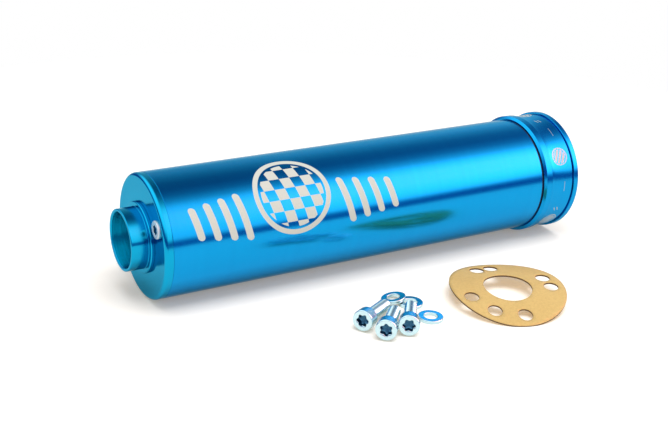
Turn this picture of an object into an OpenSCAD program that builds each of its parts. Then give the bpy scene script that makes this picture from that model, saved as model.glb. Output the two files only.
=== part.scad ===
// Round two-stroke kart silencer with its inlet gasket, bolts and washers.
// Millimetres. The origin is the centre of the inlet face, and +X points out of the inlet.

/* [Casing] */
// Outer diameter of the casing tube and of the outlet cap
tube_d = 60; // [58:0.5:62]
// Wall of the casing tube
tube_wall = 1.5; // [1.2:0.1:1.8]
// Length from the inlet face to the outlet cap's face
body_len = 237.4; // [200:0.1:300]
// Rim of the outlet cap that shows outside the tube
cap_rim = 4; // [3:0.1:6]
// Radius of the rounded edge on the outlet cap
cap_edge_r = 1.8; // [0.5:0.1:2.5]

/* [Inlet cap] */
// Length of the inlet cap that shows outside the tube
inlet_len = 22.5; // [20:0.1:28]
// Diameter of the end lip, against which the flange seats
lip_d = 64; // [63:0.1:66]
// Diameter of the narrower lip beside the tube
ring_d = 63.6; // [62.5:0.1:64]
// Diameter at the middle of the waist between the two lips
waist_d = 61.6; // [61:0.1:62]
// Gas bore through the inlet
inlet_bore_d = 24; // [20:0.5:25]
// Pitch circle of the three flange bolts
flange_pcd = 43.4; // [42:0.1:46]
// Depth of the tapped M6 holes
flange_hole_depth = 12; // [8:1:14]

/* [Outlet] */
// Outer diameter of the tail spigot
spigot_d = 29.4; // [28:0.1:30]
// How far the tail spigot stands out of the cap's face
spigot_len = 10.1; // [8:0.1:20]
// Diameter of the collar that seats on the cap's face
collar_d = 34; // [33:0.1:36]
// Thickness of the collar
collar_t = 1.8; // [1:0.1:2.5]

/* [Core and packing] */
// Outer diameter of the perforated core
core_d = 26; // [25.5:0.1:26]
// Wall of the perforated core
core_wall = 0.75; // [0.6:0.05:0.8]
// Diameter of one perforation
perf_d = 3.5; // [2:0.1:4]
// Rows of perforations along the core
perf_rows = 18; // [10:1:24]

/* [Loose hardware] */
// Thread diameter of the flange bolts
bolt_d = 6; // [6:0.5:6]
// Length of a flange bolt under its head
bolt_len = 20; // [16:1:20]
// Outer diameter of the gasket sheet
gasket_d = 57; // [54:0.5:58]
// Thickness of the gasket sheet
gasket_t = 0.8; // [0.5:0.1:1.2]
// Radius that the gasket sheet has curled to
gasket_curl = 103; // [90:1:140]

/* [Hidden] */
$fn = 96;

ANODISED = "deepskyblue";
STEEL = "silver";
SEAL = "black";
eps = 0.02;            // overshoot that makes a cut break through
slide_fit = 0.05;      // radial clearance of the parts that slide in each other

// places along the axis
seal_t = 0.8;                              // black ring between the tube and the inlet cap
tube_x1 = -inlet_len - seal_t;             // tube's inlet end
tube_x0 = -body_len + cap_rim;             // tube's outlet end
tube_r = tube_d / 2;
tube_bore_r = tube_r - tube_wall;
register_r = tube_bore_r - slide_fit;      // register of each cap inside the tube
cap_web_x = -body_len + 10;                // inner face of the outlet cap's web
cap_register_x = -body_len + 16;           // inner end of its register
inlet_web_x = -20;                         // inner face of the inlet cap's web
inlet_register_x = -32;                    // inner end of its register
register_wall = 2.1;                       // wall of each register, down to the tie rods
oring_r = 0.75;                            // radius of an O-ring's section
groove_depth = 1.5;                        // O-ring groove in each register
groove_half = 0.9;                         // half its width

// tie rods and their screws, one on each side of the axis
tie_r = 22.7;
tie_turn = 29.5;                           // how far the front one is turned up from level
tie_rod_d = 7;
tie_seat = 7;                              // depth of a rod's seat in the inlet cap's web
screw_r = 2.45;
screw_len = 25;
screw_head_r = 4.25;
screw_head_h = 5;
screw_sink = 4;                            // depth of the counterbore round the head
counterbore_r = 5.4;

// tail insert
insert_bore_r = core_d / 2 + 0.1;          // gas bore of the spigot
insert_socket_r = core_d / 2 + 0.35;       // loose socket for the core's end, which grows as it heats
insert_socket_x = -body_len + 5.5;         // step from the bore to the socket
neck_r = 15.5;                             // neck that screws into the outlet cap
neck_x = -body_len + 15.4;                 // its inner end
neck_groove_depth = 1.2;                   // groove of the square ring on the neck
neck_groove_half = 0.85;                   // half its width

// core and packing
core_x0 = -body_len + 6;                   // core's end inside the tail insert
core_x1 = -8;                              // core's end in the inlet cap's socket
core_bore_r = core_d / 2 - core_wall;
pack_x0 = cap_register_x + 1.4;            // ends of the packing and the wrap
pack_x1 = inlet_register_x - 1;
wrap_r0 = core_d / 2 + 0.3;                // inside and outside of the mesh wrap
wrap_r1 = wrap_r0 + 1;

// the surface that everything lies on touches the end lip and the outlet cap, so it slopes a little
rest_x = -3;
rest_tilt = asin((lip_d - tube_d) / 2 / (body_len - cap_edge_r + rest_x));

// gasket holes: three on the flange's pitch circle, and four more on a rectangle for other flanges
gasket_hole_d = 7.1;
gasket_bore_d = 23.8;
flange_angles = [-23, 97, 217];
spare_angles = [0.5, 75.5, 180.5, 255.5];

// flange bolts and washers: where each lies
head_r = 5;
head_h = 6;
socket_af = 5;
bolt_lean = atan((head_r - bolt_d / 2) / bolt_len);
bolt_places = [[-158.7, -74.9, 33], [-153.8, -87.1, 48], [-142, -87.8, 54]];
washer_r = 6;
washer_hole_r = 3.2;
washer_t = 1.6;
washer_places = [[-128.7, -55.1], [-122.7, -60.8], [-122.4, -77.2]];
washer_lean = 11.6;                        // washer 1 leans on the edge of washer 2
washer_lean_yaw = -43.5;

// turns a profile of [radius, x] points about the X axis
module turned(profile) {
    rotate([90, 0, 90]) rotate_extrude() polygon(profile);
}

// a cylinder along X from x0 to x1
module rod(r, x0, x1) {
    translate([x0, 0, 0]) rotate([0, 90, 0]) cylinder(r = r, h = x1 - x0);
}

// a tube along X from x0 to x1
module pipe(r_out, r_in, x0, x1) {
    difference() {
        rod(r_out, x0, x1);
        rod(r_in, x0 - 1, x1 + 1);
    }
}

// a round rubber ring about the X axis
module oring(r_mid, x) {
    translate([x, 0, 0]) rotate([90, 0, 90]) rotate_extrude() translate([r_mid, 0]) circle(r = oring_r, $fn = 32);
}

// puts its children at the two tie rods, or at one of them: side -1 is the front, +1 the back
module at_tie(side) {
    rotate([-tie_turn, 0, 0]) translate([0, side * tie_r, 0]) children();
}

// puts its children on the resting surface, x and y measured from its contact with the end lip
module on_surface(x, y, turn = 0) {
    translate([rest_x, 0, -lip_d / 2]) rotate([0, rest_tilt, 0]) translate([x, y, 0]) rotate([0, 0, turn])
        children();
}

// ---- casing ----

module outer_tube() {
    color(ANODISED) pipe(tube_r, tube_bore_r, tube_x0, tube_x1);
}

// rounded edge of the outlet cap, as [radius, x] points
function cap_edge() = [
    for (i = [0 : 6]) let (a = 15 * i)
        [tube_r - cap_edge_r + cap_edge_r * sin(a), -body_len + cap_edge_r - cap_edge_r * cos(a)]
];

module outlet_cap() {
    groove_x = tube_x0 + 3.7;
    color(ANODISED) difference() {
        turned(concat(
            [[neck_r + slide_fit, -body_len]],
            cap_edge(),
            [
                [tube_r, tube_x0],
                [register_r, tube_x0],
                [register_r, groove_x - groove_half],
                [register_r - groove_depth, groove_x - groove_half],
                [register_r - groove_depth, groove_x + groove_half],
                [register_r, groove_x + groove_half],
                [register_r, cap_register_x],
                [register_r - register_wall, cap_register_x],
                [register_r - register_wall, cap_web_x],
                [neck_r + 2.5, cap_web_x],
                [neck_r + 2.5, neck_x],
                [neck_r + slide_fit, neck_x]
            ]
        ));
        for (side = [-1, 1]) at_tie(side) {
            rod(counterbore_r, -body_len - 1, -body_len + screw_sink);
            rod(screw_r + 0.2, -body_len, cap_web_x + 1);
        }
    }
}

module outlet_seal() {
    color(SEAL) oring(register_r - oring_r, tube_x0 + 3.7);
}

// ---- tail insert ----

module tail_insert() {
    groove_x = -body_len + 9;
    rim_x = -body_len - spigot_len;
    collar_x = -body_len - collar_t;
    color(ANODISED) turned([
        [insert_socket_r, neck_x],
        [insert_socket_r, insert_socket_x],
        [insert_bore_r, insert_socket_x],
        [insert_bore_r, rim_x + 0.5],
        [insert_bore_r + 0.5, rim_x],
        [spigot_d / 2 - 0.4, rim_x],
        [spigot_d / 2, rim_x + 0.4],
        [spigot_d / 2, collar_x],
        [collar_d / 2 - 0.6, collar_x],
        [collar_d / 2, collar_x + 0.6],
        [collar_d / 2, -body_len - slide_fit],
        [neck_r, -body_len - slide_fit],
        [neck_r, groove_x - neck_groove_half],
        [neck_r - neck_groove_depth, groove_x - neck_groove_half],
        [neck_r - neck_groove_depth, groove_x + neck_groove_half],
        [neck_r, groove_x + neck_groove_half],
        [neck_r, neck_x]
    ]);
}

module tail_seal() {
    groove_x = -body_len + 9;
    color(SEAL) pipe(
        neck_r, neck_r - neck_groove_depth + 0.05,
        groove_x - neck_groove_half + 0.1, groove_x + neck_groove_half - 0.1
    );
}

// ---- tie screws and rods ----

module tie_screw(side) {
    head_x = -body_len + screw_sink - screw_head_h;
    color(STEEL) at_tie(side) difference() {
        union() {
            rod(screw_head_r, head_x, head_x + screw_head_h);
            rod(screw_r, head_x + 1, head_x + screw_head_h + screw_len);
        }
        translate([head_x - 1, 0, 0]) rotate([0, 90, 0]) cylinder(d = 4.6, h = 3.5, $fn = 6);
    }
}

module tie_rod(side) {
    color(STEEL) at_tie(side) difference() {
        rod(tie_rod_d / 2, cap_web_x + 0.1, inlet_web_x + tie_seat - 0.1);
        rod(screw_r + slide_fit, cap_web_x - 1, cap_web_x + screw_len);
    }
}

// ---- core and packing ----

module perforated_core() {
    span = core_x1 - core_x0;
    pitch = (span - 40) / perf_rows;
    color(STEEL) difference() {
        pipe(core_d / 2, core_bore_r, core_x0, core_x1 - 0.1);
        for (row = [0 : perf_rows - 1], turn = [0 : 45 : 135])
            translate([core_x0 + 22 + row * pitch, 0, 0])
                rotate([turn + (row % 2) * 22.5, 0, 0])
                    cylinder(d = perf_d, h = core_d + 2, center = true, $fn = 24);
    }
}

module core_wrap() {
    color("gainsboro") pipe(wrap_r1, wrap_r0, pack_x0, pack_x1);
}

module packing() {
    color("lightyellow") difference() {
        pipe(tube_bore_r - 0.4, wrap_r1 + 0.1, pack_x0, pack_x1);
        for (side = [-1, 1]) at_tie(side) rod(tie_rod_d / 2 + 0.2, pack_x0 - 1, pack_x1 + 1);
    }
}

// ---- inlet cap ----

// the shallow hollow of the waist between the lips, as [radius, x] points
waist_x0 = -17.2;
waist_x1 = -3.6;
waist_edge_r = waist_d / 2 + 0.3;
function waist() = [
    for (i = [0 : 8]) let (t = i / 8)
        [waist_edge_r - 1.2 * t * (1 - t), waist_x0 + (waist_x1 - waist_x0) * t]
];

module inlet_cap() {
    lip_r = lip_d / 2;
    ring_r = ring_d / 2;
    groove_x = inlet_register_x + 4;
    color(ANODISED) difference() {
        turned(concat(
            [
                [inlet_bore_d / 2, 0],
                [inlet_bore_d / 2, core_x1],
                [core_d / 2 + slide_fit, core_x1],
                [core_d / 2 + slide_fit, inlet_register_x],
                [core_d / 2 + 3, inlet_register_x],
                [core_d / 2 + 3, inlet_web_x],
                [register_r - register_wall, inlet_web_x],
                [register_r - register_wall, inlet_register_x],
                [register_r, inlet_register_x],
                [register_r, groove_x - groove_half],
                [register_r - groove_depth, groove_x - groove_half],
                [register_r - groove_depth, groove_x + groove_half],
                [register_r, groove_x + groove_half],
                [register_r, -inlet_len],
                [tube_r + 0.5, -inlet_len],
                [ring_r, -inlet_len + 1],
                [ring_r, waist_x0 - 0.5]
            ],
            waist(),
            [
                [lip_r - 1.3, waist_x1 + 0.3],
                [lip_r - 0.1, rest_x - 0.1],
                [lip_r, rest_x],
                [lip_r, -0.5],
                [lip_r - 0.5, 0]
            ]
        ));
        for (turn = [0, 120, 240]) rotate([turn, 0, 0]) translate([0, flange_pcd / 2, 0])
            rod(bolt_d / 2 - 0.5, -flange_hole_depth, 1);
        for (side = [-1, 1]) at_tie(side) rod(tie_rod_d / 2 + slide_fit, inlet_web_x - 1, inlet_web_x + tie_seat);
    }
}

module inlet_seal() {
    color(SEAL) pipe(tube_r - 0.25, register_r + 0.1, tube_x1 + 0.05, -inlet_len - 0.05);
}

module inlet_oring() {
    color(SEAL) oring(register_r - oring_r, inlet_register_x + 4);
}

// ---- gasket: a disc cut from curled sheet, its apex line beside its centre ----

gasket_at = [-76.7, -76];
gasket_turn = 70.3;
apex_offset = 9;
gasket_rise = gasket_curl * (1 - cos((gasket_d / 2 + apex_offset) / gasket_curl * 180 / PI)) + gasket_t;

module gasket_hole(angle, r, d) {
    rotate([0, 0, angle - gasket_turn]) translate([r, 0, -1]) cylinder(d = d, h = 40, $fn = 48);
}

module gasket() {
    color("burlywood") on_surface(gasket_at[0], gasket_at[1], gasket_turn) difference() {
        intersection() {
            translate([apex_offset, 0, gasket_rise - gasket_curl]) rotate([90, 0, 0]) difference() {
                cylinder(r = gasket_curl, h = 80, center = true, $fn = 200);
                cylinder(r = gasket_curl - gasket_t, h = 82, center = true, $fn = 200);
            }
            translate([0, 0, -1]) cylinder(d = gasket_d, h = 40);
        }
        gasket_hole(0, 0, gasket_bore_d);
        for (angle = flange_angles) gasket_hole(angle, flange_pcd / 2, gasket_hole_d);
        for (angle = spare_angles) gasket_hole(angle, flange_pcd / 2, gasket_hole_d);
    }
}

// ---- flange bolts and washers ----

// a cap-head bolt that lies on the surface: it rests on its head's edge and its tip
module flange_bolt(place) {
    lift = head_r * cos(bolt_lean) + head_h * sin(bolt_lean) + eps;
    color(STEEL) on_surface(place[0], place[1], place[2])
        translate([0, 0, lift]) rotate([0, bolt_lean, 0]) difference() {
            union() {
                rod(head_r, 0, head_h);
                rod(bolt_d / 2, 1, head_h + bolt_len);
            }
            translate([-1, 0, 0]) rotate([0, 90, 0]) cylinder(d = socket_af / cos(30), h = 4, $fn = 6);
        }
}

module flat_washer() {
    difference() {
        cylinder(r = washer_r, h = washer_t);
        translate([0, 0, -1]) cylinder(r = washer_hole_r, h = washer_t + 2);
    }
}

module washer_1() {
    color(STEEL) on_surface(washer_places[0][0], washer_places[0][1], washer_lean_yaw)
        translate([0, 0, washer_r * sin(washer_lean) + eps]) rotate([0, -washer_lean, 0]) flat_washer();
}

module lying_washer(place) {
    color(STEEL) on_surface(place[0], place[1]) translate([0, 0, eps]) flat_washer();
}

outer_tube();
outlet_cap();
outlet_seal();
tail_insert();
tail_seal();
tie_screw(-1);  // tie_screw_front
tie_screw(1);  // tie_screw_back
tie_rod(-1);  // tie_rod_front
tie_rod(1);  // tie_rod_back
perforated_core();
core_wrap();
packing();
inlet_cap();
inlet_seal();
inlet_oring();
gasket();
flange_bolt(bolt_places[0]);  // bolt_1
flange_bolt(bolt_places[1]);  // bolt_2
flange_bolt(bolt_places[2]);  // bolt_3
washer_1();
lying_washer(washer_places[1]);  // washer_2
lying_washer(washer_places[2]);  // washer_3
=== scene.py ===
"""Round two-stroke kart silencer with its curled inlet gasket, cap bolts and washers.

The silencer's axis is the X axis, the inlet face is at the origin, and lengths are in metres.
"""

import math

import bpy
import numpy as np
from mathutils import Matrix, Vector
from mathutils.geometry import delaunay_2d_cdt


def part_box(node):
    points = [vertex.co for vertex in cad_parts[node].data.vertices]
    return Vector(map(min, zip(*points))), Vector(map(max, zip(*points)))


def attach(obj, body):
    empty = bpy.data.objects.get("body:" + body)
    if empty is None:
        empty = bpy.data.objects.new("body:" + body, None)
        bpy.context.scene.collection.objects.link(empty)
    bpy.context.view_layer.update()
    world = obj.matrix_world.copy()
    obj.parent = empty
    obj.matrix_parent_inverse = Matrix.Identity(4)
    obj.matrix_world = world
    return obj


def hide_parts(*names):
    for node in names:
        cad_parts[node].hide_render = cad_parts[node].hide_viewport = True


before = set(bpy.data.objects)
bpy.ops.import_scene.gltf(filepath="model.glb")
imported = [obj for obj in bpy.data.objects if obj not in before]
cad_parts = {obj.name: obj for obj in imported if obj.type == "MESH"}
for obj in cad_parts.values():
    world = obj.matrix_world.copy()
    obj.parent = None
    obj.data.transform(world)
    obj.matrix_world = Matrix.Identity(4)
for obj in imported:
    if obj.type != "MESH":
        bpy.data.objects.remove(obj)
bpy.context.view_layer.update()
mm = 0.001

# ---- Camera ----
# A short telephoto look, from the front left and above, with the camera rolled a little so that
# the silencer rises to the right.
aim = Vector((-133.7, 0.0, -10.5)) * mm
view_distance = 569.1 * mm
view_azimuth = math.radians(31.2)      # turned from +Y towards +X
view_elevation = math.radians(22.6)    # looking down
view_roll = math.radians(2.79)

look = Vector((
    math.sin(view_azimuth) * math.cos(view_elevation),
    math.cos(view_azimuth) * math.cos(view_elevation),
    -math.sin(view_elevation),
))
level_right = look.cross(Vector((0, 0, 1))).normalized()
level_up = level_right.cross(look)
right = level_right * math.cos(view_roll) + level_up * math.sin(view_roll)
up = right.cross(look)

lens = bpy.data.cameras.new("camera")
lens.lens = 60.1
lens.sensor_width = 36.0
lens.clip_start = 0.01
camera = bpy.data.objects.new("camera", lens)
camera.matrix_world = (
    Matrix.Translation(aim - look * view_distance)
    @ Matrix((right, up, -look)).transposed().to_4x4()
)
bpy.context.scene.collection.objects.link(camera)
bpy.context.scene.camera = camera
bpy.context.scene.view_settings.view_transform = "Standard"


# ---- Studio ----
# A white sweep under the silencer and a long softbox in front of it and above. The room is dark above
# the softbox and dusky along the horizon, which draws the navy bands along the polished metal.
class Field:
    """One shader socket. Arithmetic on it adds a Math node per operation, in either order."""

    def __init__(self, socket):
        self.socket = socket

    def math(self, operation, *others):
        return self.math_of(operation, self, *others)

    def swapped(self, operation, other):
        return self.math_of(operation, other, self)

    def math_of(self, operation, *terms):
        return add(self.socket.id_data, "ShaderNodeMath", {"operation": operation}, dict(enumerate(terms)))

    def __add__(self, other):
        return self.math("ADD", other)

    def __radd__(self, other):
        return self.swapped("ADD", other)

    def __sub__(self, other):
        return self.math("SUBTRACT", other)

    def __rsub__(self, other):
        return self.swapped("SUBTRACT", other)

    def __mul__(self, other):
        return self.math("MULTIPLY", other)

    def __rmul__(self, other):
        return self.swapped("MULTIPLY", other)

    def __truediv__(self, other):
        return self.math("DIVIDE", other)

    def __abs__(self):
        return self.math("ABSOLUTE")


def add(tree, kind, settings=None, values=None, out=0):
    """Adds a node: its settings first (a ramp takes its stops), then the values or links of its sockets."""
    node = tree.nodes.new(kind)
    for name, value in (settings or {}).items():
        if name == "stops":
            ramp = node.color_ramp.elements
            while len(ramp) < len(value):
                ramp.new(1.0)
            for stop, (place, colour) in zip(ramp, value):
                stop.position = place
                stop.color = (*colour, 1.0)
        else:
            setattr(node, name, value)
    for name, value in (values or {}).items():
        if isinstance(value, Field):
            tree.links.new(value.socket, node.inputs[name])
        else:
            node.inputs[name].default_value = value
    return Field(node.outputs[out]) if node.outputs else None


def mixed(tree, share, first, second):
    """A colour between two, first at share 0 and second at share 1."""
    return add(
        tree, "ShaderNodeMix", {"data_type": "RGBA"},
        {0: share, 6: first if isinstance(first, Field) else (*first, 1.0),
         7: second if isinstance(second, Field) else (*second, 1.0)}, 2,
    )


world = bpy.data.worlds.new("studio")
bpy.context.scene.world = world
world.use_nodes = True
sky = world.node_tree
sky.nodes.clear()
direction = add(sky, "ShaderNodeTexCoord")
parts = add(sky, "ShaderNodeSeparateXYZ", {}, {0: direction}).socket.node.outputs
height, depth = Field(parts["Z"]), Field(parts["Y"])
# the angle round the silencer's axis, from the front up, and the light that comes from there; the
# softbox's red share pales its reflection in the thin coat, where the blue metal throws no red back
turn = height.math("ARCTAN2", depth * -1.0) / (2 * math.pi) + 0.5
room_light = [
    (-180, (1.10, 1.10, 1.10)),
    (-150, (0.55, 0.55, 0.55)),
    (-60, (0.45, 0.45, 0.45)),
    (-20, (0.8, 0.8, 0.8)),
    (14, (2.2, 2.05, 2.05)),
    (24, (3.2, 2.4, 2.4)),
    (38, (7.0, 2.5, 2.5)),
    (54, (7.0, 2.5, 2.5)),
    (66, (2.6, 2.1, 2.2)),
    (78, (0.85, 0.90, 1.0)),
    (90, (0.30, 0.38, 0.52)),
    (104, (0.14, 0.21, 0.34)),
    (120, (0.19, 0.27, 0.38)),
    (136, (0.45, 0.52, 0.57)),
    (156, (0.90, 0.92, 0.94)),
    (180, (1.10, 1.10, 1.10)),
]
ramp_scale = 10.0
room = add(
    sky, "ShaderNodeValToRGB",
    {"stops": [(0.5 + a / 360, tuple(c / ramp_scale for c in light)) for a, light in room_light]},
    {0: turn},
)
# a navy dusk shows along the horizon, a white wall stands past the outlet, and the softbox is brighter
# towards the inlet's side
sideways = Field(parts["X"])
dusk = tuple(c / ramp_scale for c in (0.06, 0.12, 0.42))
wall_white = tuple(c / ramp_scale for c in (2.8, 2.8, 2.8))
left = add(sky, "ShaderNodeMapRange", {}, {"Value": sideways, "From Min": 0.25, "From Max": -0.25})
wall_rise = add(sky, "ShaderNodeMapRange", {}, {"Value": height, "From Min": 0.15, "From Max": 0.5})
walled = mixed(sky, left, room, mixed(sky, wall_rise, dusk, wall_white))
horizon = add(
    sky, "ShaderNodeMapRange", {"interpolation_type": "SMOOTHSTEP"},
    {"Value": abs(height - 0.02), "From Min": 0.035, "From Max": 0.18},
)
behind = add(sky, "ShaderNodeMapRange", {}, {"Value": depth, "From Min": 0.2, "From Max": 0.6})
above = add(sky, "ShaderNodeMapRange", {}, {"Value": height, "From Min": 0.0, "From Max": 0.3})
towards_inlet = 1.0 + above * (sideways.math("MAXIMUM", 0.3) - 0.5) * 1.7
rays = add(sky, "ShaderNodeLightPath").socket.node.outputs
# what the metal throws back on the sweep is kept small, so that the shadows stay grey
first_seen = 1.0 - Field(rays["Diffuse Depth"]).math("MINIMUM", 1.0) * 0.9
room_colour = mixed(sky, horizon.math("MAXIMUM", behind), dusk, walled)
room_strength = towards_inlet * first_seen * ramp_scale
room_glow = add(sky, "ShaderNodeBackground", {}, {"Color": room_colour, "Strength": room_strength})
white = (1.0, 1.0, 1.0, 1.0)
white_strength = 1.0 - Field(rays["Is Diffuse Ray"]) * 0.35
white_glow = add(sky, "ShaderNodeBackground", {}, {"Color": white, "Strength": white_strength})
both = add(sky, "ShaderNodeMixShader", {}, {0: Field(rays["Is Glossy Ray"]), 1: white_glow, 2: room_glow})
add(sky, "ShaderNodeOutputWorld", {}, {"Surface": both})
# light found by chance rays only, so that each kind of ray sees its own side of the mix
world.cycles.sampling_method = "NONE"

tube_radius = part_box("outer_tube")[1].z
lip_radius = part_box("inlet_cap")[1].z
cap_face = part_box("outlet_cap")[0].x
cap_edge = 1.8 * mm                      # rounded edge of the outlet cap
lip_contact = -3 * mm                    # the end lip's inner edge, where it touches the surface
rest_slope = math.asin((lip_radius - tube_radius) / (lip_contact - cap_face - cap_edge))


def on_surface(x, y, yaw=0.0):
    """The frame of something that lies on the surface: x and y from the end lip's contact, +Z off it."""
    return (
        Matrix.Translation((lip_contact, 0, -lip_radius))
        @ Matrix.Rotation(rest_slope, 4, "Y")
        @ Matrix.Translation((x, y, 0))
        @ Matrix.Rotation(yaw, 4, "Z")
    )


def material(name):
    """An empty node material: returns it with its tree."""
    made = bpy.data.materials.new(name)
    made.use_nodes = True
    made.node_tree.nodes.clear()
    return made, made.node_tree


def finish_with(tree, values):
    """Adds the Principled shader with these values and links it to the output."""
    shader = add(tree, "ShaderNodeBsdfPrincipled", {}, values)
    add(tree, "ShaderNodeOutputMaterial", {}, {"Surface": shader})


def built(name, points, faces, look=None, sharp=35.0):
    """An object from an array of points and lists of faces, smooth up to an angle, with its material."""
    mesh = bpy.data.meshes.new(name)
    mesh.from_pydata(points.tolist(), [], faces)
    mesh.validate()
    mesh.shade_smooth()
    mesh.set_sharp_from_angle(angle=math.radians(sharp))
    if look is not None:
        mesh.materials.append(look)
    thing = bpy.data.objects.new(name, mesh)
    bpy.context.scene.collection.objects.link(thing)
    return thing


sweep_look, tree = material("white_sweep")
finish_with(tree, {
    "Base Color": (0.86, 0.86, 0.86, 1.0), "Roughness": 0.9, "Specular IOR Level": 0.1,
    "Emission Color": (1.0, 0.80, 0.56, 1.0), "Emission Strength": 0.25,
})
sweep_radius = 0.46
sweep_sides = 96
around = np.linspace(0, 2 * np.pi, sweep_sides + 1)[:-1]
sweep_frame = np.array(on_surface(-0.12, -0.03))
disc = np.stack([
    sweep_radius * np.cos(around), sweep_radius * np.sin(around), 0 * around, 1 + 0 * around,
], -1)
floor = built("floor", (disc @ sweep_frame.T)[:, :3], [list(range(sweep_sides))], sweep_look)

overhead = bpy.data.lights.new("overhead", "AREA")
overhead.shape = "RECTANGLE"
overhead.size = 0.9
overhead.size_y = 0.7
overhead.energy = 8.5
overhead_lamp = bpy.data.objects.new("overhead", overhead)
overhead_lamp.location = (-0.12, -0.28, 0.95)
overhead_lamp.rotation_euler = (math.radians(16), 0, 0)
overhead_lamp.visible_glossy = False
bpy.context.scene.collection.objects.link(overhead_lamp)


# ---- Casing tube ----
# Drawn aluminium tube, turned all over to a fine finish and anodised a clear bright blue. Generic
# racing marks, a chequer between slanted bars, are printed on the side in pale cream.
def rounded(corners, arc_points=5):
    """A closed (x, radius) outline: each corner (x, radius, fillet) becomes an arc tangent to its two
    sides, with a support point a little along each side so that flat stretches shade flat."""
    given = np.array([c[:2] for c in corners], float)
    fillets = [c[2] if len(c) > 2 else 0.0 for c in corners]
    outline = []
    for i, (corner, fillet) in enumerate(zip(given, fillets)):
        back = given[i - 1] - corner
        ahead = given[(i + 1) % len(given)] - corner
        back_length, ahead_length = np.hypot(*back), np.hypot(*ahead)
        back, ahead = back / back_length, ahead / ahead_length
        half = 0.5 * math.acos(float(np.clip(back @ ahead, -1, 1)))
        reach = fillet / math.tan(half) if fillet else 0.0
        support = min(0.1, (back_length - reach) / 4, (ahead_length - reach) / 4)
        outline.append(corner + back * (reach + support))
        if fillet:
            start, end = corner + back * reach, corner + ahead * reach
            centre = corner + (back + ahead) / np.linalg.norm(back + ahead) * fillet / math.sin(half)
            for t in np.linspace(0, 1, arc_points):
                arm = (start - centre) * (1 - t) + (end - centre) * t
                outline.append(centre + arm / np.hypot(*arm) * fillet)
        else:
            outline.append(corner)
        outline.append(corner + ahead * (reach + support))
    return np.array(outline)


def swept(outline, sides, centre=(0.0, 0.0)):
    """A grid of points: an (x, radius) line in millimetres swept round the X axis through centre (y, z).
    x stays, y = centre + radius cos a, z = centre + radius sin a."""
    x, r = np.array(outline, float).T * mm
    a = np.linspace(0, 2 * np.pi, sides + 1)[:-1]
    y_centre, z_centre = centre
    return np.stack([
        x[:, None] + 0 * a,
        r[:, None] * np.cos(a) + y_centre * mm,
        r[:, None] * np.sin(a) + z_centre * mm,
    ], -1)


def grid_mesh(name, points, look=None, closed=True, ends=(), sharp=35.0):
    """A mesh from a (rows, columns, 3) grid of points whose columns run round, each cell one face.
    closed joins its last row to its first, and ends are the faces that close an open grid."""
    rows, columns = points.shape[:2]
    index = np.arange(rows * columns).reshape(rows, columns)
    if closed:
        index = np.vstack([index, index[:1]])
    index = np.hstack([index, index[:, :1]])
    cells = np.stack([index[:-1, :-1], index[1:, :-1], index[1:, 1:], index[:-1, 1:]], -1)
    return built(name, points.reshape(-1, 3), [*cells.reshape(-1, 4).tolist(), *ends], look, sharp)


def turned(name, outline, look, sides=256):
    """A turned solid: a closed (x, radius) outline in millimetres, swept round the X axis."""
    x, r = outline.T
    if np.sum(x * np.roll(r, -1) - np.roll(x, -1) * r) > 0:
        outline = outline[::-1]
    return grid_mesh(name, swept(outline, sides), look)


def place(tree):
    """Object coordinates of the surface, as three fields in metres."""
    outputs = add(tree, "ShaderNodeSeparateXYZ", {}, {0: add(tree, "ShaderNodeTexCoord", {}, {}, "Object")})
    return [Field(s) for s in outputs.socket.node.outputs]


def noise(tree, along, scale, detail=2.0, rough=0.5):
    """One-dimensional noise along a field, from 0 to 1, with its scale in cycles per metre."""
    return add(
        tree, "ShaderNodeTexNoise", {"noise_dimensions": "1D"},
        {"W": along, "Scale": scale, "Detail": detail, "Roughness": rough},
    )


def inside(distance, soft=0.06 * mm):
    """1 where a signed distance is below zero and 0 where it is above, with a soft edge."""
    return add(
        distance.socket.id_data, "ShaderNodeMapRange", {},
        {"Value": distance, "From Min": soft, "From Max": -soft, "To Min": 0.0, "To Max": 1.0},
    )


def rounds(across, along, radius):
    """Signed distance to a circle, centred where both fields are zero."""
    return (across * across + along * along).math("SQRT") - radius


anodic_blue = (0.0, 0.285, 0.62)
anodic_deep = (0.0, 0.25, 0.57)
print_cream = (0.57, 0.56, 0.51)
lathe_lines = 5200.0                     # cycles per metre
lathe_bands = 260.0
coat_weight, worn_coat = 0.14, 0.01      # on clear metal, and where it is printed or engraved
largest_bore = 13.4 * mm


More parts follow.
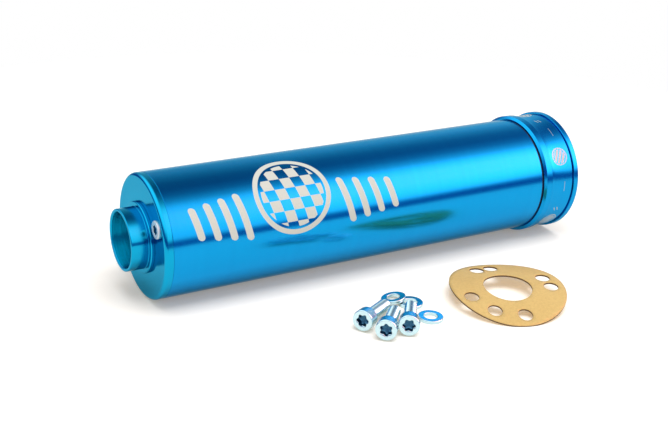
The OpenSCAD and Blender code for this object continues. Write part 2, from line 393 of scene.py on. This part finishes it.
def anodised(name, marks=None, mark_colour=print_cream, mark_metal=0.0,
             deep=anodic_deep, clear=anodic_blue):
    """Clear-blue anodised aluminium. The lathe's fine lines follow x + radius, so they run round a
    cylinder and circle a flat face, and they are coarse in a bore. marks(x, y, z, radius) gives the mask
    of what is printed or engraved on it."""
    made, tree = material(name)
    x, y, z = place(tree)
    radius = (y * y + z * z).math("SQRT")
    feed = x + radius
    fine = noise(tree, feed, lathe_lines, 3.0, 0.6)
    slow = noise(tree, feed, lathe_bands, 2.0)
    cloud = add(
        tree, "ShaderNodeTexNoise", {},
        {"Vector": add(tree, "ShaderNodeTexCoord", {}, {}, "Object"), "Scale": 22.0, "Detail": 2.0},
    )
    colour = mixed(tree, slow * 0.7 + cloud * 0.3, deep, clear)
    in_bore = inside(radius - largest_bore)
    rough = 0.11 + fine * 0.10 + cloud * 0.03
    metal = 1.0
    coat = coat_weight
    ridge = fine * (1.0 + 40.0 * in_bore)
    if marks:
        mask = marks(x, y, z, radius)
        speck = noise(tree, feed, 3000.0)
        ink = mixed(tree, speck, tuple(c * 0.94 for c in mark_colour), mark_colour)
        colour = mixed(tree, mask, colour, ink)
        rough = rough + mask * (0.42 - rough)
        metal = 1.0 - mask * (1.0 - mark_metal)
        coat = coat_weight - mask * (coat_weight - worn_coat)
        ridge = ridge * (1.0 - mask * 0.8)
    bump = add(
        tree, "ShaderNodeBump", {},
        {"Strength": 1.0, "Distance": 0.006 * mm, "Height": ridge},
    )
    finish_with(tree, {
        "Base Color": colour, "Metallic": metal, "Roughness": rough, "Coat Weight": coat,
        "Coat Roughness": 0.12, "Specular IOR Level": 0.1, "Specular Tint": (0.33, 0.6, 0.68, 1.0),
        "Normal": bump,
    })
    return made


def capsule(across, along, half_length, radius, slant=0.0):
    """Signed distance to a stroke with round ends, centred where both fields are zero."""
    dx = across - along * slant
    dy = (abs(along) - half_length).math("MAXIMUM", 0.0)
    return (dx * dx + dy * dy).math("SQRT") - radius


def racing_marks(x, y, z, radius):
    """A chequered roundel between slanted strokes, wrapped on the tube's side: across runs along the tube
    and up runs round it."""
    up_round = z.math("ARCTAN2", y * -1.0)
    roundel_x, roundel_turn, strokes_turn = -170.8 * mm, math.radians(41), math.radians(27)
    slant = -0.2
    across, up = x - roundel_x, (up_round - roundel_turn) * tube_radius
    cell = 5.4 * mm
    squares = (
        ((across - up * slant) / cell + 100.5).math("FLOOR") + (up / cell + 100.5).math("FLOOR")
    ).math("MODULO", 2.0)
    outer, inner, chequer = (inside(rounds(across, up, r * mm)) for r in (19.8, 17.4, 16.1))
    mask = outer - inner + chequer * squares
    up = (up_round - strokes_turn) * tube_radius
    for first, spacing in [(-26.8, -7.8), (28.0, 8.4)]:
        for i, half_height in enumerate([9.6, 8.4, 7.2, 6.0]):
            middle = (first + spacing * i) * mm
            mask = mask + inside(capsule(across - middle, up, half_height * mm, 1.75 * mm, slant))
    # on the outside only, not on the wall's inner face
    return mask * inside(tube_radius - 0.2 * mm - radius)


tube_look = anodised("anodised_tube", racing_marks)
wall = 1.5
tube_x0, tube_x1 = (corner.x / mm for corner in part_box("outer_tube"))
tube_r = tube_radius / mm
bore_r = tube_r - wall
fine_sides = 320
tube = turned("casing_tube", rounded([
    (tube_x0, tube_r, 0.15), (tube_x1, tube_r, 0.3), (tube_x1, bore_r, 0.3), (tube_x0, bore_r, 0.2),
]), tube_look, fine_sides)
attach(tube, "casing")
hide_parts("outer_tube")

# ---- Outlet cap ----
# Turned aluminium plug with a rounded rim the tube's own size and a register inside the tube. Two
# counterbored holes take the tie screws, and its hub holds the tail insert.
plain_blue = anodised("anodised_plain", deep=(0.0, 0.30, 0.53), clear=(0.0, 0.335, 0.58))
face_x = cap_face / mm
hub_r, hub_wall = 15.55, 2.45
register_r = bore_r - 0.05
register_wall = 2.1
groove_x = tube_x0 + 3.7
groove_depth, groove_half = 1.5, 0.9
groove_r = register_r - groove_depth
web_x, register_x, neck_x = face_x + 10, face_x + 16, face_x + 15.4
cap = turned("outlet_end_cap", rounded([
    (face_x, hub_r, 0.15), (face_x, tube_r, cap_edge / mm), (tube_x0 - 0.02, tube_r, 0.2),
    (tube_x0 - 0.02, register_r), (groove_x - groove_half, register_r, 0.1),
    (groove_x - groove_half, groove_r), (groove_x + groove_half, groove_r),
    (groove_x + groove_half, register_r, 0.1), (register_x, register_r, 0.5),
    (register_x, register_r - register_wall, 0.3), (web_x, register_r - register_wall, 0.5),
    (web_x, hub_r + hub_wall, 0.5), (neck_x, hub_r + hub_wall, 0.3), (neck_x, hub_r, 0.2),
], 7), plain_blue, fine_sides)


def drill(outline, centre):
    """A cutter: an (x, radius) line in millimetres turned about an axis through (y, z), its ends closed."""
    sides = 64
    points = swept(outline, sides, centre)
    index = np.arange(len(outline) * sides).reshape(-1, sides)
    return grid_mesh("cutter", points, closed=False, ends=[index[0].tolist(), index[-1, ::-1].tolist()])


def bored(thing, cutters):
    """Cuts turned cutters, which it removes, out of a piece, and keeps its smooth and sharp edges."""
    for cutter in cutters:
        cut = thing.modifiers.new("cut", "BOOLEAN")
        cut.operation = "DIFFERENCE"
        cut.solver = "EXACT"
        cut.object = cutter
    mesh = bpy.data.meshes.new_from_object(thing.evaluated_get(bpy.context.evaluated_depsgraph_get()))
    thing.modifiers.clear()
    thing.data = mesh
    mesh.shade_smooth()
    mesh.set_sharp_from_angle(angle=math.radians(35))
    for cutter in cutters:
        bpy.data.objects.remove(cutter)


tie_r = 22.7
tie_turn = math.radians(29.5)             # the front one is turned up from level
tie_places = {
    side: (side * tie_r * math.cos(tie_turn), -side * tie_r * math.sin(tie_turn)) for side in (-1, 1)
}
sink_x = face_x + 4
counterbore_r = 5.4
screw_hole_r = 2.65
bored(cap, [
    drill([
        (face_x - 1, counterbore_r + 0.5), (face_x, counterbore_r + 0.5),
        (face_x + 0.35, counterbore_r), (sink_x, counterbore_r),
        (sink_x, screw_hole_r), (web_x + 2, screw_hole_r),
    ], place) for place in tie_places.values()
])
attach(cap, "outlet")
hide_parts("outlet_cap")

# ---- Seals ----
# Black rubber: an O-ring in the groove of each cap's register, a square ring on the tail insert's
# neck, and the thin ring that shows between the tube and the inlet cap.
rubber_look, tree = material("seal_rubber")
grain = add(
    tree, "ShaderNodeTexNoise", {},
    {"Vector": add(tree, "ShaderNodeTexCoord", {}, {}, "Object"), "Scale": 900.0, "Detail": 3.0},
)
finish_with(tree, {
    "Base Color": mixed(tree, grain, (0.002, 0.006, 0.018), (0.005, 0.013, 0.034)),
    "Roughness": 0.5 + grain * 0.25,
    "Normal": add(tree, "ShaderNodeBump", {}, {"Strength": 0.3, "Distance": 0.03 * mm, "Height": grain}),
})


def ring_seal(name, node, body, x):
    """An O-ring in a cap's register, about the X axis at x: its section is a circle."""
    cord_r = 0.75
    t = np.linspace(0, 2 * np.pi, 25)[:-1]
    section = np.stack([x + cord_r * np.cos(t), register_r - cord_r + cord_r * np.sin(t)], -1)
    seal = turned(name, section, rubber_look)
    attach(seal, body)
    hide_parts(node)


inlet_groove_x = -28.0
ring_seal("outlet_o_ring", "outlet_seal", "outlet", groove_x)
ring_seal("inlet_o_ring", "inlet_oring", "inlet", inlet_groove_x)


def flat_seal(name, node, body, inner, outer, fillet):
    """A square-section ring between two radii, with the length of its CAD node."""
    low, high = (corner.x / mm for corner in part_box(node))
    seal = turned(name, rounded([
        (low, outer, fillet), (high, outer, fillet), (high, inner, fillet), (low, inner, fillet),
    ]), rubber_look)
    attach(seal, body)
    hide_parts(node)


neck_r = 15.5
flat_seal("joint_ring", "inlet_seal", "inlet", inner=register_r + 0.1, outer=tube_r - 0.25, fillet=0.15)
flat_seal("neck_ring", "tail_seal", "tail", inner=neck_r - 1.15, outer=neck_r, fillet=0.2)

# ---- Tail insert ----
# The tail spigot, its seating collar and the neck that goes into the cap are one turned piece, bored
# through for the gas.
rim_x, neck_end = (corner.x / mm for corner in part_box("tail_insert"))
gas_r, socket_r = 13.1, 13.35
spigot_r, collar_r = 14.7, 17.0
collar_x = face_x - 1.8
seat_x = face_x - 0.05
socket_x = face_x + 5.5
neck_groove = (face_x + 9 - 0.85, face_x + 9 + 0.85)
neck_groove_r = neck_r - 1.2
tail = turned("tail_spigot", rounded([
    (rim_x, gas_r + 0.45, 0.25), (rim_x, spigot_r, 0.4), (collar_x, spigot_r, 0.25),
    (collar_x, collar_r, 0.55), (seat_x, collar_r, 0.1), (seat_x, neck_r),
    (neck_groove[0], neck_r, 0.1), (neck_groove[0], neck_groove_r),
    (neck_groove[1], neck_groove_r), (neck_groove[1], neck_r, 0.1), (neck_end, neck_r, 0.4),
    (neck_end, socket_r, 0.3), (socket_x, socket_r), (socket_x, gas_r, 0.1), (rim_x + 0.7, gas_r, 0.3),
], 6), plain_blue)
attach(tail, "tail")
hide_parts("tail_insert")

# ---- Inlet cap ----
# A spool turned from solid: a lip beside the tube, a shallow waist and the wide end lip, against whose
# face the gasket and the flange are bolted. The waist is engraved with plain index marks.
waist_x0, waist_x1 = -17.2, -3.6
waist_edge = 31.1


def index_marks(x, y, z, radius):
    """Engraved index marks round the waist, none of them letters: six hairlines round it, four pairs of
    short slanted ticks and four small striped discs."""
    up_round = z.math("ARCTAN2", y * -1.0)
    across = x - 0.5 * (waist_x0 + waist_x1) * mm
    arc = waist_edge * mm

    def up(degrees):
        """Arc length above a place, the shorter way round."""
        away = (up_round - math.radians(degrees) + 3 * math.pi).math("MODULO", 2 * math.pi)
        return (away - math.pi) * arc

    mask = 0.0
    for degrees, shift in [(61, 1.6), (2, 1.8), (-62, 1.8), (124, 1.6), (176, 1.8), (-122, 1.8)]:
        hairline = (abs(across - shift * mm) - 0.12 * mm).math("MAXIMUM", abs(up(degrees)) - 2.8 * mm)
        mask = mask + inside(hairline)
    for degrees in (80, -24, -98, 142):
        for shift in (-1.0, 1.0):
            tick = capsule(across - shift * mm, up(degrees), 0.9 * mm, 0.3 * mm, -0.5)
            mask = mask + inside(tick)
    for degrees in (33, -42, 104, -150):
        outer, inner, core = (inside(rounds(across, up(degrees), r * mm)) for r in (4.9, 4.3, 3.9))
        stripe = (across - up(degrees) * 0.5) / (2.4 * mm) + 50.5
        mask = mask + outer - inner + core * stripe.math("FRACT").math("GREATER_THAN", 0.28)
    # on the waist only, not on the faces and bores behind it
    return mask.math("MINIMUM", 1.0) * inside(30.4 * mm - radius)


engraved_blue = anodised("anodised_engraved", index_marks, (0.40, 0.44, 0.45), 0.2)
lip_r = lip_radius / mm
ring_r = 31.8
ring_x = -22.5
gas_hole_r, core_socket_r, core_stop_x = 12, 13.05, -8
inlet_web_x, inlet_register_x = -20, -32
inlet_groove = (inlet_groove_x - groove_half, inlet_groove_x + groove_half)
corners = rounded([
    (0, gas_hole_r, 0.3), (core_stop_x, gas_hole_r, 0.1), (core_stop_x, core_socket_r),
    (inlet_register_x, core_socket_r, 0.2), (inlet_register_x, 16, 0.3), (inlet_web_x, 16, 0.4),
    (inlet_web_x, register_r - register_wall, 0.4), (inlet_register_x, register_r - register_wall, 0.2),
    (inlet_register_x, register_r, 0.4), (inlet_groove[0], register_r, 0.1), (inlet_groove[0], groove_r),
    (inlet_groove[1], groove_r), (inlet_groove[1], register_r, 0.1), (ring_x, register_r),
    (ring_x, tube_r + 0.5, 0.1), (ring_x + 1.0, ring_r, 0.15), (waist_x0 - 0.45, ring_r, 0.3),
    (waist_x0 - 0.1, waist_edge + 0.1, 0.05), (waist_x1 + 0.05, waist_edge - 0.05),
    (waist_x1 + 0.2, lip_r - 1.4), (waist_x1 + 0.45, lip_r - 1.4), (-3.05, lip_r, 0.25), (0, lip_r, 0.5),
], 6)
# the straight run between the waist's two edges gives way to its hollow, a parabola 0.3 mm deep
t = np.linspace(0, 1, 13)[1:-1]
hollow = np.stack([waist_x0 + (waist_x1 - waist_x0) * t, waist_edge - 1.2 * t * (1 - t)], -1)
straight = (corners[:, 0] > waist_x0) & (corners[:, 0] < waist_x1) & (corners[:, 1] > tube_r)
outline = np.insert(corners[~straight], np.argmax(straight), hollow, axis=0)
inlet = turned("inlet_spool", outline, engraved_blue, fine_sides)
bolt_circle = 21.7
tapped_r = 2.5
tapped_hole = [(-12, 1.2), (-11.2, tapped_r), (-0.8, tapped_r), (0, tapped_r + 0.8), (1, tapped_r + 0.8)]
bored(inlet, [
    drill(tapped_hole, (bolt_circle * math.cos(a), bolt_circle * math.sin(a)))
    for a in np.radians([0, 120, 240])
])
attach(inlet, "inlet")
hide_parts("inlet_cap")

# ---- Cap bolts and tie screws ----
# Zinc-plated socket screws: a knurled cylinder head with a six-lobe recess, which is painted dark blue as
# shade, and a rolled thread. Three M6 by 20 bolts lie loose, and two M5 screws hold the outlet cap.
def zinc(name, pale, polish):
    """Zinc plate, blotched between a pale colour and a darker one, and flecked, with its least roughness."""
    made, tree = material(name)
    spot = add(tree, "ShaderNodeTexCoord", {}, {}, "Object")
    blotch = add(tree, "ShaderNodeTexNoise", {}, {"Vector": spot, "Scale": 420.0, "Detail": 4.0})
    fleck = add(tree, "ShaderNodeTexNoise", {}, {"Vector": spot, "Scale": 2600.0, "Detail": 2.0})
    bump = add(tree, "ShaderNodeBump", {}, {"Strength": 0.25, "Distance": 0.02 * mm, "Height": fleck})
    finish_with(tree, {
        "Base Color": mixed(tree, blotch, tuple(c * 0.8 for c in pale), pale), "Metallic": 1.0,
        "Roughness": polish + blotch * 0.10 + fleck * 0.08, "Normal": bump,
    })
    return made


# pale zinc with its red held low: a painted tint that offsets the softbox's red share on the plate
tinted_zinc_look = zinc("zinc_plate", (0.58, 0.80, 0.86), 0.09)
dull_look = zinc("zinc_plate_dull", (0.72, 0.75, 0.76), 0.42)
# the six-lobe recess is painted dark blue: a painted shade in the hollow, not the plate's own colour
recess_shade_look = zinc("zinc_recess_painted_shade", (0.05, 0.16, 0.26), 0.25)


def socket_screw(name, pose, look, head_r, head_h, shank_r, length, pitch, socket_r):
    """A cap-head screw along +X from its head's face, sizes in millimetres. One grid is swept round it:
    up the six-lobe recess, over the face and its rounded rim, down the knurled side, and along the
    thread to the bevelled tip. Recess: r = socket_r (1 + 0.13 cos 6a). Knurl: the product of two
    crossing waves. Thread: a triangle wave of x / pitch - a / turn."""
    sides = 144
    a = np.linspace(0, 2 * np.pi, sides + 1)[:-1]
    lobe = 0.13
    lobes = socket_r * (1 + lobe * np.cos(6 * a))
    rows = []

    def row(x, r):
        rows.append(np.stack([x + 0 * a, r * np.cos(a), r * np.sin(a)], -1))

    recess = 0.5 * head_h
    for share, x in [(0.02, recess + 0.45), (0.5, recess + 0.25), (0.93, recess), (1.0, recess - 0.15)]:
        row(x, lobes * share)
    row(0.35, lobes)
    recess_bands = len(rows)
    row(0.12, lobes + 0.05)
    row(0.0, lobes + 0.2)
    row(0.0, socket_r * (1 + lobe) + 0.45 + 0 * a)
    rim = 0.09 * head_r
    row(0.0, head_r - rim - 0.1 + 0 * a)
    for t in np.radians([0, 30, 60, 90]):
        row(rim - rim * np.cos(t), head_r - rim - 0.05 + rim * np.sin(t) + 0 * a)
    knurls, knurl_lean = 30, 5.5
    for x in np.linspace(rim + 0.25, head_h - 0.5, 22):
        wave = np.cos(knurls * a + knurl_lean * x) * np.cos(knurls * a - knurl_lean * x)
        row(x, head_r - 0.06 + 0.07 * wave)
    row(head_h - 0.3, head_r - 0.06 + 0 * a)
    row(head_h - 0.05, head_r - 0.25 + 0 * a)
    row(head_h, head_r - 0.45 + 0 * a)
    row(head_h, shank_r + 0.35 + 0 * a)
    row(head_h + 0.25, shank_r + 0.03 + 0 * a)
    thread = 0.30 * pitch
    thread_from = head_h + 0.9
    bevel, bevel_slope = 0.9, 0.8
    end = head_h + length
    for x in np.arange(thread_from, end, pitch / 7):
        phase = (x / pitch - a / (2 * np.pi)) % 1.0
        ridge = 1 - 2 * abs(phase - 0.5)
        blend = min(1.0, (x - thread_from) / pitch)
        cone = shank_r - max(0.0, bevel - (end - x)) * bevel_slope
        row(x, np.minimum(shank_r - thread * (1 - ridge) * blend, cone))
    row(end, shank_r - bevel * bevel_slope - 0.3 + 0 * a)
    row(end, 0.02 + 0 * a)
    points = np.array(rows) * mm
    placed = np.c_[points.reshape(-1, 3), np.ones(points.shape[0] * sides)] @ np.array(pose).T
    placed = placed[:, :3].reshape(points.shape)[::-1]
    screw = grid_mesh(name, placed, look, closed=False, sharp=50)
    # the recess's faces take the painted-shade material
    screw.data.materials.append(recess_shade_look)
    in_recess = np.zeros(len(screw.data.polygons), np.int32)
    in_recess[-recess_bands * sides:] = 1
    screw.data.polygons.foreach_set("material_index", in_recess)
    return screw


m6 = {"head_r": 5.0, "head_h": 6.0, "shank_r": 3.0, "length": 20.0, "pitch": 1.0, "socket_r": 2.6}
m5 = {"head_r": 4.25, "head_h": 5.0, "shank_r": 2.45, "length": 25.0, "pitch": 0.8, "socket_r": 2.2}
# a loose bolt rests on its head's rim and on its tip
bolt_lean = math.atan((m6["head_r"] - m6["shank_r"]) / m6["length"])
bolt_lift = (m6["head_r"] * math.cos(bolt_lean) + m6["head_h"] * math.sin(bolt_lean) + 0.02) * mm
bolt_places = [(-158.7, -74.9, 33), (-153.8, -87.1, 48), (-142, -87.8, 54)]
for number, (bolt_x, bolt_y, bolt_yaw) in enumerate(bolt_places, 1):
    pose = (
        on_surface(bolt_x * mm, bolt_y * mm, math.radians(bolt_yaw))
        @ Matrix.Translation((0, 0, bolt_lift))
        @ Matrix.Rotation(bolt_lean, 4, "Y")
        @ Matrix.Rotation(math.radians(20 + 33 * number), 4, "X")
    )
    bolt = socket_screw(f"cap_bolt_{number}", pose, tinted_zinc_look, **m6)
    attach(bolt, f"loose_bolt_{number}")
    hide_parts(f"bolt_{number}")

for side, end_name in [(-1, "front"), (1, "back")]:
    head_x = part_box(f"tie_screw_{end_name}")[0].x
    across, up = tie_places[side]
    pose = Matrix.Translation((head_x, across * mm, up * mm)) @ Matrix.Rotation(0.4, 4, "X")
    screw = socket_screw(f"outlet_screw_{end_name}", pose, dull_look, **m5)
    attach(screw, f"screw_{end_name}")
    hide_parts(f"tie_screw_{end_name}")

# ---- Washers ----
# Stamped M6 washers, zinc plated, with one edge a little rounded by the press. The first leans on the
# edge of the second.
washer_t, washer_r, washer_hole_r = 1.6, 6, 3.2
washer_places = [(-128.7, -55.1, -43.5, 11.6), (-122.7, -60.8, 0.0, 0.0), (-122.4, -77.2, 0.0, 0.0)]
for number, (washer_x, washer_y, washer_yaw, washer_lean) in enumerate(washer_places, 1):
    lean = math.radians(washer_lean)
    pose = (
        on_surface(washer_x * mm, washer_y * mm, math.radians(washer_yaw))
        @ Matrix.Translation((0, 0, (washer_r * math.sin(lean) + 0.02) * mm))
        @ Matrix.Rotation(-lean, 4, "Y")
        @ Matrix.Rotation(-math.pi / 2, 4, "Y")
    )
    washer = turned(f"flat_washer_{number}", rounded([
        (0, washer_hole_r, 0.12), (0, washer_r, 0.15),
        (washer_t, washer_r, 0.4), (washer_t, washer_hole_r, 0.3),
    ]), tinted_zinc_look, sides=96)
    washer.data.transform(pose)
    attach(washer, f"loose_washer_{number}")
    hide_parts(f"washer_{number}")

# ---- Gasket ----
# Golden fibre sheet, die cut: a round blank with the gas hole, three flange-bolt holes and four spare
# ones. It has curled, so it stands on its near edge; the cut edges are darker.
gasket_look, tree = material("gasket_sheet")
spot = add(tree, "ShaderNodeTexCoord", {}, {}, "Object")
fibre = add(
    tree, "ShaderNodeTexNoise", {}, {"Vector": spot, "Scale": 900.0, "Detail": 5.0, "Roughness": 0.65},
)
stain = add(tree, "ShaderNodeTexNoise", {}, {"Vector": spot, "Scale": 55.0, "Detail": 3.0})
finish_with(tree, {
    "Base Color": mixed(tree, fibre * 0.7 + stain * 0.3, (0.44, 0.265, 0.075), (0.78, 0.55, 0.21)),
    "Roughness": 0.42 + fibre * 0.2,
    "Normal": add(tree, "ShaderNodeBump", {}, {"Strength": 0.5, "Distance": 0.05 * mm, "Height": fibre}),
})
edge_look, tree = material("gasket_cut_edge")
spot = add(tree, "ShaderNodeTexCoord", {}, {}, "Object")
fibre = add(tree, "ShaderNodeTexNoise", {}, {"Vector": spot, "Scale": 1500.0, "Detail": 4.0})
finish_with(tree, {
    "Base Color": mixed(tree, fibre, (0.07, 0.035, 0.012), (0.17, 0.09, 0.03)), "Roughness": 0.8,
    "Normal": add(tree, "ShaderNodeBump", {}, {"Strength": 0.4, "Distance": 0.05 * mm, "Height": fibre}),
})

gasket_r, gasket_t, curl, apex = 28.5, 0.8, 103.0, 9.0
gasket_turn = 70.3
gas_opening_r, small_hole_r = 11.9, 3.55
holes = [(0.0, 0.0, gas_opening_r)]
for degrees in (-23, 97, 217, 0.5, 75.5, 180.5, 255.5):
    a = math.radians(degrees - gasket_turn)
    holes.append((bolt_circle * math.cos(a), bolt_circle * math.sin(a), small_hole_r))


def circle(x, y, r, count):
    """Points round a circle."""
    a = np.linspace(0, 2 * np.pi, count + 1)[:-1]
    return np.stack([x + r * np.cos(a), y + r * np.sin(a)], -1)


loops = [circle(0, 0, gasket_r, 180)]
loops += [circle(x, y, r, 96 if r == gas_opening_r else 48) for x, y, r in holes]
edges = []
start = 0
for loop in loops:
    index = np.arange(start, start + len(loop))
    edges += np.stack([index, np.roll(index, -1)], -1).tolist()
    start += len(loop)
# inner points on a staggered lattice, kept clear of every edge, so that the sheet bends smoothly
step = 1.6
i, j = np.meshgrid(np.arange(-22, 23), np.arange(-22, 23))
row_share = 0.87                          # height of a row, close to an equilateral triangle's
lattice = np.stack([(i + 0.5 * (j % 2)) * step, j * step * row_share], -1).reshape(-1, 2)
clear = np.hypot(*lattice.T) < gasket_r - 1.0
for x, y, r in holes:
    clear &= np.hypot(lattice[:, 0] - x, lattice[:, 1] - y) > r + 0.9
flat_points = np.vstack([*loops, lattice[clear]])
points, _, faces, *_ = delaunay_2d_cdt([Vector(p) for p in flat_points], edges, [], 0, 1e-6)
points = np.array([tuple(p) for p in points])
faces = np.array([f for f in faces if len(f) == 3])
middle = points[faces].mean(1)
keep = np.hypot(*middle.T) < gasket_r
for x, y, r in holes:
    keep &= np.hypot(middle[:, 0] - x, middle[:, 1] - y) > r * 0.998
faces = faces[keep]
# the sheet follows a cylinder of radius curl, whose highest line is apex beyond the centre
bend = np.arcsin((points[:, 0] - apex) / curl)
rise = curl * (1 - math.cos((gasket_r + apex) / curl)) + gasket_t
sheet = np.stack([points[:, 0], points[:, 1], rise - curl * (1 - np.cos(bend))], -1) * mm
sheet = np.c_[sheet, np.ones(len(sheet))]
pose = np.array(on_surface(-76.7 * mm, -76.0 * mm, math.radians(gasket_turn)))
gasket = built("curled_gasket", (sheet @ pose.T)[:, :3], faces.tolist(), gasket_look)
gasket.data.materials.append(edge_look)
thicken = gasket.modifiers.new("thickness", "SOLIDIFY")
thicken.thickness = gasket_t * mm
thicken.offset = -1.0
thicken.material_offset_rim = 1
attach(gasket, "loose_gasket")
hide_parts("gasket")

# ---- Core, wrap, rods and packing ----
# Inside the casing: a perforated steel tube that carries the gas, a fine steel mesh round it, the glass
# wool that soaks up the noise, and the two rods that the outlet screws pull against.
steel_look, tree = material("core_steel")
x, _, z = place(tree)
spot = add(tree, "ShaderNodeTexCoord", {}, {}, "Object")
drawn = noise(tree, x + z * 0.2, 900.0, 4.0)
heat = add(tree, "ShaderNodeTexNoise", {}, {"Vector": spot, "Scale": 30.0, "Detail": 3.0})
finish_with(tree, {
    "Base Color": mixed(tree, heat, (0.42, 0.40, 0.37), (0.62, 0.61, 0.59)), "Metallic": 1.0,
    "Roughness": 0.28 + drawn * 0.18,
    "Normal": add(tree, "ShaderNodeBump", {}, {"Strength": 0.2, "Distance": 0.02 * mm, "Height": drawn}),
})

def dress(node, look):
    """Gives its material to a CAD piece that keeps its own shape."""
    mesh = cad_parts[node].data
    mesh.materials.clear()
    mesh.materials.append(look)


for node in ("perforated_core", "tie_rod_front", "tie_rod_back"):
    dress(node, steel_look)

mesh_look, tree = material("steel_mesh")
x, y, z = place(tree)
wrap_radius = 14.3 * mm
round_arc = z.math("ARCTAN2", y) * wrap_radius
weave_pitch = 1.1 * mm
crossing = (
    ((x + round_arc) / weave_pitch * (2 * math.pi)).math("SINE")
    * ((x - round_arc) / weave_pitch * (2 * math.pi)).math("SINE")
)
wire = crossing * 0.5 + 0.5
# the weave's low places between the wires are painted near black: a painted shade in its openings
finish_with(tree, {
    "Base Color": mixed(tree, wire, (0.05, 0.05, 0.05), (0.66, 0.65, 0.63)), "Metallic": 1.0,
    "Roughness": 0.42 - wire * 0.12,
    "Normal": add(tree, "ShaderNodeBump", {}, {"Strength": 0.8, "Distance": 0.2 * mm, "Height": wire}),
})
dress("core_wrap", mesh_look)

wool_look, tree = material("glass_wool")
spot = add(tree, "ShaderNodeTexCoord", {}, {}, "Object")
strands = add(
    tree, "ShaderNodeTexNoise", {},
    {"Vector": add(tree, "ShaderNodeMapping", {}, {"Vector": spot, "Scale": (60.0, 420.0, 420.0)}),
     "Scale": 3.0, "Detail": 6.0, "Roughness": 0.7, "Distortion": 0.6},
)
tufts = add(tree, "ShaderNodeTexNoise", {}, {"Vector": spot, "Scale": 140.0, "Detail": 5.0})
pile = add(tree, "ShaderNodeBump", {}, {"Strength": 0.9, "Distance": 0.8 * mm, "Height": strands + tufts})
finish_with(tree, {
    "Base Color": mixed(tree, strands * 0.6 + tufts * 0.4, (0.62, 0.55, 0.36), (0.93, 0.90, 0.78)),
    "Roughness": 0.95, "Normal": pile,
})


def lumps(x, a, seed):
    """Smooth lumps from -1 to 1 over length x and angle a: tanh of a sum of waves sin(k x + n a + phase)
    with seeded k, n and phase."""
    random = np.random.default_rng(seed)
    total = np.zeros(np.broadcast(x, a).shape)
    waves = 26
    for _ in range(waves):
        along = random.uniform(0.05, 0.9)
        around = random.integers(1, 22)
        total = total + np.sin(along * x + around * a + random.uniform(0, 6.28)) / waves ** 0.5
    return np.tanh(total)


wool_low, wool_high = (corner.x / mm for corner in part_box("packing"))
end_gap = 0.6
wool_outer, wool_inner = 27.6, 14.6
a = np.linspace(0, 2 * np.pi, 193)[:-1]
x = np.linspace(wool_low + end_gap, wool_high - end_gap, 220)[:, None]
# the outer side narrows a little at both ends
narrowing = 0.05 * np.exp(-(x - wool_low) / 1.5) + 0.05 * np.exp(-(wool_high - x) / 1.5)
outer = (wool_outer + 0.5 * lumps(x, a, seed=4)) * (1 - narrowing)
inner = wool_inner + 0.2 * lumps(x[::-1], a, seed=5)
x_all = np.vstack([x + 0 * a, x[::-1] + 0 * a])
r_all = np.vstack([outer, inner])
wool_points = np.stack([x_all, r_all * np.cos(a), r_all * np.sin(a)], -1)[::-1] * mm
wool = grid_mesh("wool_packing", wool_points, wool_look)
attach(wool, "inlet")
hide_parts("packing")
